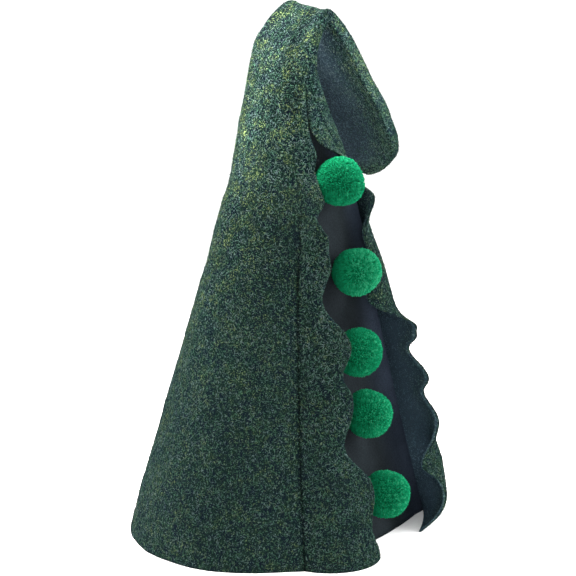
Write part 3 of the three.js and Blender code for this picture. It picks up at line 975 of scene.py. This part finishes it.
class PodHatView(PropertyGroup):
    """Camera and lights."""

    azimuth: FloatProperty(name="Azimuth", description="Camera's turn about the hat",
                           default=math.radians(-58.5), subtype="ANGLE")
    pitch: FloatProperty(name="Pitch", description="Camera's tilt down to the hat's middle",
                         default=math.radians(10), subtype="ANGLE")
    distance: length_property("Distance", "Camera to the hat's middle", 1.2)
    lens: FloatProperty(name="Lens", description="Focal length", default=133.94, unit="CAMERA")
    sky: FloatProperty(name="Sky", description="Strength of the even light all round", default=1.25)
    key: power_property("Key", "Power of the light over the tip", 0.95)
    side: power_property("Side", "Power of the light beside the neck", 0.55)
    rim: power_property("Rim", "Power of the light behind on the left", 15.5)
    right: power_property("Right", "Power of the light on the right", 10.0)
    tip: power_property("Tip", "Power of the narrow light on the tip's rim", 0.11)
    fill: power_property("Fill", "Power of the light in front", 2.3)


# Pieces

def rows_from_hem(top, count, radius):
    """Lengths along the crown from the hem to a top, close together where the hem is rounded."""
    low = radius * ROUND_STEPS
    return np.concatenate([low, np.linspace(low[-1], top, count + 1)[1:]])[:, None]


def stood(face, back):
    """Points of a face and then of its back, with the hat stood over the origin."""
    return np.vstack([face.reshape(-1, 3), back.reshape(-1, 3)]) + HAT_SHIFT


def crown_ring(section, sizes, inner):
    """Points round the crown at each section, from one front seam to the other, with rounded cut edges."""
    seam = section["seam"]
    arc = arc_radius(section, seam)
    radius = np.minimum(sizes.sewn_round, 0.5 * np.radians(seam) * arc)
    beside = np.degrees(radius * ROUND_STEPS / arc)
    edge = beside[:, -1:]
    along = np.linspace(0, 1, CROWN_COLUMNS + 1)[1:-1]
    between = seam + edge + (360 - 2 * (seam + edge)) * along
    turn = np.hstack([seam + beside, between, 360 - seam - beside[:, ::-1]])
    from_edge = radius * ROUND_STEPS
    far = np.full_like(between, 1.0)
    distance = np.hstack([from_edge, far, from_edge[:, ::-1]])
    inset = np.maximum(rounding(distance, radius), rounding(section["run"], sizes.edge_round))
    if inner:
        inset = sizes.felt - inset
    points = section_point(section, turn, fullness(section, turn), inset)
    return points, turn


def under_tip(section, turn):
    """How plain and how dim the tip's under side is painted: painted shade, plainest by the neck, and
    painted light at its outer rim.
    """
    angle = np.radians(section["front"] + turn)
    run = section["run"]
    inside = smooth(np.cos(angle), *TIP_FACE) * smooth(run, *TIP_START) * (1 - smooth(run, *TIP_RIM))
    ahead = np.sin(angle) - TIP_SLANT * smooth(run, *TIP_SLANT_ALONG)
    plain = 1 - smooth(np.sin(angle), *TIP_PLAIN_TO)
    dim = TIP_PAINTED_SHADE * (1 - smooth(ahead, *TIP_PAINTED_SHADE_TO)) - TIP_PAINTED_LIGHT * smooth(ahead, *TIP_PAINTED_LIGHT_FROM)
    return inside * plain, inside * dim


def near_shade(section, points):
    """Painted light and shade of the near face: painted shade at the waist and in a fold of the neck,
    painted light on the left elsewhere.
    """
    out = points - section["middle"]
    aside = out @ NEAR_RIGHT
    aside = aside / np.abs(aside).max(axis=1, keepdims=True)
    left = smooth(-aside, *NECK_LIT_FROM)
    run = section["run"]
    above_hem = smooth(run, *WAIST_START)
    neck = smooth(run, *NECK_START)
    fold = smooth(run, *FOLD_START) * bell(aside - FOLD_PLACE, FOLD_WIDTH)
    tone = (1 - smooth(run, *TIP_START)) * (FOLD_PAINTED_SHADE * fold - NECK_PAINTED_LIGHT * neck * left)
    tone = tone + WAIST_PAINTED_SHADE * above_hem * (1 - neck) * (1 - left) - HEM_PAINTED_LIGHT * (1 - above_hem) * left
    return smooth(out @ NEAR_TOWARD, 0, NECK_TURN) * tone


def crown_mesh(sizes):
    """Points, faces and marks of the crown: outer face, hollow, hem and cut edges of the front opening."""
    cone = rows_from_hem(SEAM_TOP, CONE_ROWS, sizes.edge_round)
    tip = np.linspace(SEAM_TOP, TIP_LAST, TIP_ROWS + 1)[1:, None]
    ends = np.sin(np.linspace(0, math.pi / 2, TIP_END_ROWS + 1)[1:, None])
    parts = []
    for section in (section_at(cone), section_at(tip), tip_end(ends)):
        points, turn = crown_ring(section, sizes, False)
        under, dim = under_tip(section, turn)
        length = np.radians(from_seam(section, turn)) * arc_radius(section, section["seam"])
        # Painted shade in the crease beside each front seam, where the nap also thins
        seam = bell(length, SEAM_SHADE) * (1 - smooth(section["run"], *SEAM_FADE))
        parts.append((points, under, SEAM_PAINTED_SHADE * seam + dim + near_shade(section, points), 1 - seam))
    outer, under, shade, nap = (np.vstack(part) for part in zip(*parts))
    hollow = section_at(np.vstack([cone, [[HOLLOW_TOP]]]))
    inner, _ = crown_ring(hollow, sizes, True)
    inner = np.vstack([inner, np.broadcast_to(inner[-1:].mean(axis=1, keepdims=True), inner[-1:].shape)])

    rows, columns = outer.shape[:2]
    inner_rows = inner.shape[0]
    start = rows * columns
    outer_at = np.arange(start).reshape(rows, columns)
    inner_at = start + np.arange(inner_rows * columns).reshape(inner_rows, columns)
    joined = len(cone)
    faces = np.vstack([
        grid_faces(rows, columns),
        grid_faces(inner_rows, columns, start)[:, ::-1],
        strip_faces(inner_at[0], outer_at[0]),
        strip_faces(outer_at[:joined, 0], inner_at[:joined, 0]),
        strip_faces(inner_at[:joined, -1], outer_at[:joined, -1]),
    ])
    # The hollow is given the full plain painted-shade look
    plain = np.zeros(inner_rows * columns)
    marks = {
        "under": np.concatenate([under.ravel(), plain + 1]),
        "shade": np.concatenate([shade.ravel(), plain]),
        "nap": np.concatenate([nap.ravel(), plain]),
    }
    return stood(outer, inner), faces, marks


def lip_mesh(crests, side, sizes):
    """Points, faces and marks of a lip: face, back, hem, sewn edge and scalloped edge, all rounded."""
    run = rows_from_hem(LIP_TUCK_TOP, LIP_ROWS, sizes.edge_round)
    section = section_at(run)
    width = lip_width(crests, section, side)[0]
    sewn_round = np.minimum(sizes.sewn_round, width / 4)
    free_round = np.minimum(sizes.edge_round, width / 4)
    sewn = sewn_round * ROUND_STEPS / width
    free = 1 - (free_round * ROUND_STEPS / width)[:, ::-1]
    along = np.linspace(0, 1, LIP_COLUMNS + 1)[1:-1]
    s = np.hstack([sewn, sewn[:, -1:] + (free[:, :1] - sewn[:, -1:]) * along, free])
    open_round = np.maximum(rounding((1 - s) * width, free_round), rounding(run, sizes.edge_round))
    face_round = np.maximum(open_round, rounding(s * width, sewn_round))
    face = lip_point(crests, side, section, s, face_round)
    back = lip_point(crests, side, section, s, sizes.felt - open_round)

    # Painted shade in the crease beside the seam, where the nap also thins
    beside = bell(s * width, SEAM_SHADE) * (1 - smooth(run, *SEAM_FADE))
    cut = bell((1 - s) * width, CUT_EDGE)
    middle = smooth(run, *LIP_MID_PAINTED_SHADE_START) * (1 - smooth(run, *SEAM_FADE))
    # Near lip: painted shade over its face and its middle, and a painted highlight at its cut edge; far
    # lip: painted light on its face
    tone = FAR_LIP_PAINTED_LIGHT
    if side > 0:
        tone = LIP_SHADE + LIP_MID_PAINTED_SHADE * middle - CUT_PAINTED_HIGHLIGHT * cut
    shade = tone + SEAM_PAINTED_SHADE * beside
    # Backs: painted shade by the seam and higher up, painted light on their outer parts and the flap, and a
    # plain painted-shade look that fades upwards and outwards
    outer = smooth(s, *BACK_OUTER)
    behind = BACK_SEAM_PAINTED_SHADE * bell(s * width, BACK_SHADE) - BACK_OUTER_PAINTED_LIGHT * outer
    behind = behind + (BACK_TOP_PAINTED_SHADE + FLAP_PAINTED_LIGHT) * smooth(run, *BACK_RISE) - FLAP_PAINTED_LIGHT
    plain = (1 - PLAIN_LOSS_ABOVE * smooth(run, *PLAIN_FADE)) * (1 - PLAIN_LOSS_OUTSIDE * outer)
    none = np.zeros(s.size)
    marks = {
        "under": np.concatenate([none, plain.ravel()]),
        "shade": np.concatenate([shade.ravel(), behind.ravel()]),
        "nap": np.concatenate([1 - beside.ravel(), none]),
    }
    return stood(face, back), sheet_faces(*s.shape), marks


def panel_mesh(sizes):
    """Points, faces and marks of the dark panel, whose face follows the crown up to each seam."""
    run = np.linspace(0, PANEL_TOP, PANEL_ROWS + 1)[:, None]
    seat = sizes.felt - SEWN_GAP + SEWN_CLOSE
    section = section_at(run)
    share = fullness(section, section["seam"])
    left, right = (panel_point(run, np.full_like(run, end), 0.0, seat) for end in (0.0, 1.0))
    chord = right - left
    length = np.linalg.norm(chord, axis=-1)
    out = -unit(np.cross(chord, UP))
    tucks = []
    rises = []
    for side, end in ((-1, left), (1, right)):
        seam = section_point(section, side * section["seam"], share, sizes.felt + SEWN_CLOSE) - end
        tucks.append(np.abs((seam * unit(chord)).sum(axis=-1)) / length)
        rises.append((seam * out).sum(axis=-1))
    spread = 0.5 - 0.5 * np.cos(math.pi * np.linspace(0, 1, PANEL_COLUMNS + 1))
    none = np.zeros_like(run)
    s = np.hstack([none, tucks[0] + (1 - tucks[0] - tucks[1]) * spread, none + 1])
    settle = np.minimum(PANEL_SETTLE / length, PANEL_SETTLE_SHARE)
    lift = np.zeros_like(s)
    for tuck, rise, in_from in zip(tucks, rises, (s, 1 - s)):
        lift += rise * np.where(in_from < tuck, in_from / tuck, 1 - smooth(in_from - tuck, 0, settle))
    run = np.broadcast_to(run, s.shape)
    face = panel_point(run, s, 0.0, seat) + out * lift[..., None]
    back = panel_point(run, s, sizes.panel, seat)
    return stood(face, back), sheet_faces(*s.shape), {"across": np.concatenate([s.ravel(), s.ravel()])}


def fibre_mesh(piece, count, sizes, seed):
    """Points, faces and map of loose fibres on a felt piece: bent spindles that lie in its nap."""
    rng = np.random.default_rng(seed)
    mesh = piece.data
    mesh.calc_loop_triangles()
    corners = np.zeros(len(mesh.loop_triangles) * 3, np.int32)
    mesh.loop_triangles.foreach_get("vertices", corners)
    corners = corners.reshape(-1, 3)
    points = read_vectors(mesh.vertices, "co")
    a, b, c = (points[corners[:, k]] for k in range(3))
    area = np.linalg.norm(np.cross(b - a, c - a), axis=1)
    dark = read_mark(mesh, "under")[corners].mean(axis=1)
    clear = smooth((a + b + c)[:, 2] / 3, *FIBRE_FROM_HEM)
    nap = read_mark(mesh, "nap")[corners].mean(axis=1)
    weight = area * clear * nap * (1 - FIBRES_LOST_UNDER * dark)
    pick = rng.choice(len(area), count, p=weight / weight.sum())
    u, v = rng.random((2, count, 1))
    flip = u + v > 1
    u = np.where(flip, 1 - u, u)
    v = np.where(flip, 1 - v, v)
    place = a[pick] + u * (b - a)[pick] + v * (c - a)[pick]
    normal = unit(read_vectors(mesh.vertex_normals, "vector")[corners[pick]].mean(axis=1))
    way = unit(np.cross(normal, rng.normal(size=(count, 3))))
    side = np.cross(normal, way)

    length = sizes.fibre_length * rng.uniform(*FIBRE_LENGTHS, (count, 1))
    width = sizes.fibre_width * rng.uniform(*FIBRE_WIDTHS, (count, 1))
    bend = length * rng.uniform(-FIBRE_BEND, FIBRE_BEND, (count, 1))
    is_loose = rng.random((2, count, 1)) < LOOSE_SHARE
    loose = np.where(is_loose, rng.uniform(*LOOSE_RISE, (2, count, 1)), FLAT_RISE)
    middle = place + normal * FIBRE_LIFT
    tail = place - way * length / 2 + side * bend + normal * loose[0]
    head = place + way * length / 2 + side * bend + normal * loose[1]
    ring = [middle + side * width / 2, middle + normal * width / 2, middle - side * width / 2]
    spindle = np.stack([tail, *ring, head], axis=1).reshape(-1, 3)
    spindle[:, 2] = np.maximum(spindle[:, 2], LOWEST_FIBRE)
    pattern = np.array([[0, 2, 1], [0, 3, 2], [0, 1, 3], [4, 1, 2], [4, 2, 3], [4, 3, 1]])
    faces = (np.arange(count)[:, None, None] * 5 + pattern).reshape(-1, 3)
    broad = waves(place, FIBRE_PATCH, FIBRE_PATCH_SEED)
    small = waves(place, SMALL_FIBRE_PATCH, SMALL_FIBRE_PATCH_SEED)
    patch = smooth(broad + SMALL_FIBRE_PATCH_SHARE * small, *FIBRE_PATCH_RANGE)
    kind = rng.random(count) * (1 - FIBRE_PATCH_SHARE) + FIBRE_PATCH_SHARE * patch
    # Painted shade: fibres on shaded under sides are darker
    kind = np.clip(kind, 0, 1) * (1 - FIBRE_UNDER_PAINTED_SHADE * dark[pick])
    along = np.tile([0.0, 0.5, 0.7, 0.5, 1.0], (count, 1))
    spots = np.stack([np.repeat(kind, 5), along.ravel()], axis=1)
    return spindle, faces, spots


def set_map(piece, spots):
    """Gives a mesh the map that its finish is read from."""
    mesh = piece.data
    corners = np.zeros(len(mesh.loops), np.int32)
    mesh.loops.foreach_get("vertex_index", corners)
    layer = mesh.uv_layers.new(name=MAP_NAME)
    inside = MAP_MARGIN + (1 - 2 * MAP_MARGIN) * spots[corners]
    layer.data.foreach_set("uv", inside.astype(np.float32).ravel())


def add_fibres(piece, count, sizes, paint, seed):
    """Loose fibres on a felt piece, as a piece of their own."""
    points, faces, spots = fibre_mesh(piece, count, sizes, seed)
    fibres = add_piece(f"{piece.name}_fibres", points, faces, material=shared(loose_fibres, paint))
    set_map(fibres, spots)
    finish_piece(fibres, "felt_green")
    return fibres


def pea_mesh(sizes, tone, seed):
    """Points, faces and map of a pompom: a core and the strands that stand out all over it."""
    rng = np.random.default_rng(seed)
    count = sizes.pea_strands
    k = np.arange(count) + 0.5
    polar = np.arccos(1 - 2 * k / count)
    turn = math.pi * (1 + 5 ** 0.5) * k
    out = np.stack([np.cos(turn) * np.sin(polar), np.sin(turn) * np.sin(polar), np.cos(polar)], axis=1)
    out = unit(out + rng.normal(size=out.shape) * STRAND_STRAY)
    clump = waves(out * sizes.pea_radius, CLUMP_LENGTH, seed + CLUMP_SEED)
    bulge = waves(out * sizes.pea_radius, BULGE_LENGTH, seed + BULGE_SEED)
    tall = PEA_TALL + CLUMP_HEIGHT * clump + BULGE_HEIGHT * bulge
    tall = sizes.pea_radius * (tall + rng.uniform(-PEA_UNEVEN, PEA_UNEVEN, count))
    lean = unit(out + rng.normal(size=out.shape) * STRAND_LEAN)
    side = unit(np.cross(out, rng.normal(size=out.shape)))
    other = np.cross(out, side)
    root = out * sizes.pea_radius * PEA_ROOT
    tip = root + lean * (tall - sizes.pea_radius * PEA_ROOT)[:, None]
    width = sizes.strand_width / 2 * rng.uniform(*STRAND_WIDTHS, (count, 1))
    rings = []
    for middle, share in ((root, 0.5), (tip, 1.0)):
        for corner in range(3):
            angle = 2 * math.pi * corner / 3
            rings.append(middle + width * share * (side * math.cos(angle) + other * math.sin(angle)))
    point = tip + lean * width * STRAND_POINT
    strands = np.stack([*rings, point], axis=1).reshape(-1, 3)
    pattern = np.array([
        [0, 1, 4], [0, 4, 3], [1, 2, 5], [1, 5, 4], [2, 0, 3], [2, 3, 5],
        [3, 4, 6], [4, 5, 6], [5, 3, 6], [0, 2, 1],
    ])
    faces = (np.arange(count)[:, None, None] * 7 + pattern).reshape(-1, 3)
    # Each pea's painted light and shade from its tone, then random tones of clumps and strands
    kind = 0.5 + tone + CLUMP_TONE * clump + rng.uniform(-STRAND_TONE, STRAND_TONE, count)
    kind = np.clip(kind, 0, 1)
    # Painted shadow of the near lip: strands on the left side are darker and have fewer pale tips
    kind = kind * (1 - PEA_PAINTED_SHADOW * smooth(-out @ NEAR_RIGHT, *PEA_PAINTED_SHADOW_TO))
    along = np.tile([0.0, 0.0, 0.0, 0.8, 0.8, 0.8, 1.0], (count, 1))
    spots = np.stack([np.repeat(kind, 7), along.ravel()], axis=1)

    core = bmesh.new()
    bmesh.ops.create_icosphere(core, subdivisions=CORE_DETAIL, radius=sizes.pea_radius * PEA_CORE)
    core_points = np.array([v.co for v in core.verts])
    core_faces = np.array([[v.index for v in f.verts] for f in core.faces])
    core.free()
    core_spots = np.tile(CORE_SPOT, (len(core_points), 1))
    points = np.vstack([core_points, strands])
    return points, np.vstack([core_faces, faces + len(core_points)]), np.vstack([core_spots, spots])


# Operators

class POD_OT_crown(Operator):
    """Build the felt crown with its flopped tip, and its loose fibres"""

    bl_idname = "pod_hat.crown"
    bl_label = "Crown"

    def execute(self, context):
        hat = context.scene
        points, faces, marks = crown_mesh(hat.pod_sizes)
        felt = shared(mottled_felt, hat.pod_colours)
        crown = add_piece("felt_crown", points, faces, marks, felt, weld=True)
        raise_lumps(crown, hat.pod_sizes.lump_height, LUMP_SEED)
        finish_piece(crown, "felt_green", "crown")
        fibres = add_fibres(crown, hat.pod_sizes.crown_fibres, hat.pod_sizes, hat.pod_colours, CROWN_SEED)
        return {"FINISHED"}


class POD_OT_lips(Operator):
    """Build the two scalloped felt lips of the slit, and their loose fibres"""

    bl_idname = "pod_hat.lips"
    bl_label = "Lips"

    def execute(self, context):
        hat = context.scene
        rows = (("lip_right", RIGHT_CRESTS, 1, 0.0069), ("lip_left", LEFT_CRESTS, -1, 0.0075))
        felt = shared(mottled_felt, hat.pod_colours)
        for number, (node, crests, side, area) in enumerate(rows):
            points, faces, marks = lip_mesh(crests, side, hat.pod_sizes)
            lip = add_piece(f"felt_{node}", points, faces, marks, felt, weld=True)
            finish_piece(lip, "felt_green", node)
            seed = LIP_SEED + number
            fibres = add_fibres(lip, hat.pod_sizes.lip_fibres, hat.pod_sizes, hat.pod_colours, seed)
        return {"FINISHED"}


class POD_OT_panel(Operator):
    """Build the dark cloth panel behind the slit"""

    bl_idname = "pod_hat.panel"
    bl_label = "Front Panel"

    def execute(self, context):
        hat = context.scene
        points, faces, marks = panel_mesh(hat.pod_sizes)
        panel = add_piece("cloth_panel", points, faces, marks, dark_cloth(hat.pod_colours), weld=True)
        finish_piece(panel, "cloth_dark", "front_panel")
        return {"FINISHED"}


class POD_OT_peas(Operator):
    """Build the five pompom peas"""

    bl_idname = "pod_hat.peas"
    bl_label = "Pompom Peas"

    def execute(self, context):
        hat = context.scene
        yarn = pompom_yarn(hat.pod_colours)
        for number, node in enumerate(PEA_NAMES):
            points, faces, spots = pea_mesh(hat.pod_sizes, PEAS["tone"][number], PEA_SEED + number)
            pea = add_piece(f"pompom_{node}", points + box_middle(node), faces, material=yarn)
            set_map(pea, spots)
            finish_piece(pea, "pompom_green", node)
        return {"FINISHED"}


def add_floor(hat):
    """Plain round floor at the height of the hem."""
    disc = bmesh.new()
    bmesh.ops.create_circle(disc, cap_ends=True, segments=FLOOR_SEGMENTS, radius=hat.pod_sizes.floor_radius)
    mesh = bpy.data.meshes.new("floor")
    disc.to_mesh(mesh)
    disc.free()
    floor = bpy.data.objects.new("floor", mesh)
    mesh.materials.append(pale_floor(hat.pod_colours))
    hat.collection.objects.link(floor)


def add_sky(hat):
    """Even white light all round."""
    world = bpy.data.worlds.new("studio")
    world.use_nodes = True
    sky = world.node_tree.nodes["Background"]
    sky.inputs["Color"].default_value = (1.0, 1.0, 1.0, 1.0)
    sky.inputs["Strength"].default_value = hat.pod_view.sky
    hat.world = world
    hat.view_settings.view_transform = "Standard"


def turn_to(item, place, target):
    """Sets a light or camera at a place, turned to a target."""
    item.location = place
    item.rotation_euler = (target - place).to_track_quat("-Z", "Y").to_euler()
    bpy.context.scene.collection.objects.link(item)


def add_light(light, power, axis, right, toward):
    """One of the lights: square, soft and turned to its aim."""
    lamp = bpy.data.lights.new(light.name, "AREA")
    lamp.size = light.size
    lamp.spread = math.radians(light.spread)
    lamp.energy = power
    lamp.color = light.tint
    place = axis + right * light.right + toward * light.toward + UP_WAY * light.up
    target = axis + right * light.aim_right + UP_WAY * light.aim_up
    turn_to(bpy.data.objects.new(light.name, lamp), place, target)


def add_camera(hat, axis, right, toward):
    """Camera at the view's distance and pitch."""
    view = hat.pod_view
    ahead = -(toward * math.cos(view.pitch) + UP_WAY * math.sin(view.pitch))
    over = right.cross(ahead)
    lens = bpy.data.cameras.new("camera")
    lens.lens = view.lens
    camera = bpy.data.objects.new("camera", lens)
    aim = axis - right * AIM_LEFT - over * AIM_DOWN
    turn_to(camera, axis - ahead * view.distance, aim)
    hat.camera = camera


class POD_OT_stage(Operator):
    """Set the floor, the soft lights and the camera"""

    bl_idname = "pod_hat.stage"
    bl_label = "Stage"

    def execute(self, context):
        hat = context.scene
        view = hat.pod_view
        add_floor(hat)
        add_sky(hat)
        toward = Vector((math.sin(view.azimuth), -math.cos(view.azimuth), 0))
        right = Vector((math.cos(view.azimuth), math.sin(view.azimuth), 0))
        axis = Vector((*HAT_SHIFT[:2], AXIS_HEIGHT))
        for light in LIGHTS:
            add_light(light, getattr(view, light.name), axis, right, toward)
        add_camera(hat, axis, right, toward)
        return {"FINISHED"}


class VIEW3D_PT_pod_hat(Panel):
    """Sizes, colours and builders of the hat"""

    bl_label = "Pea Pod Hat"
    bl_space_type = "VIEW_3D"
    bl_region_type = "UI"
    bl_category = "Pea Pod Hat"

    def draw(self, context):
        for group in (context.scene.pod_sizes, context.scene.pod_colours, context.scene.pod_view):
            box = self.layout.box()
            for name in group.__annotations__:
                box.prop(group, name)
        for operator in OPERATORS:
            self.layout.operator(operator.bl_idname)


OPERATORS = (POD_OT_crown, POD_OT_lips, POD_OT_panel, POD_OT_peas, POD_OT_stage)
CLASSES = (PodHatSizes, PodHatColours, PodHatView, *OPERATORS, VIEW3D_PT_pod_hat)


def register():
    for item in CLASSES:
        bpy.utils.register_class(item)
    bpy.types.Scene.pod_sizes = PointerProperty(type=PodHatSizes)
    bpy.types.Scene.pod_colours = PointerProperty(type=PodHatColours)
    bpy.types.Scene.pod_view = PointerProperty(type=PodHatView)


def unregister():
    del bpy.types.Scene.pod_view
    del bpy.types.Scene.pod_colours
    del bpy.types.Scene.pod_sizes
    for item in reversed(CLASSES):
        bpy.utils.unregister_class(item)


def main():
    register()
    bpy.ops.pod_hat.crown()
    bpy.ops.pod_hat.lips()
    bpy.ops.pod_hat.panel()
    bpy.ops.pod_hat.peas()
    bpy.ops.pod_hat.stage()


if __name__ == "__main__":
    main()
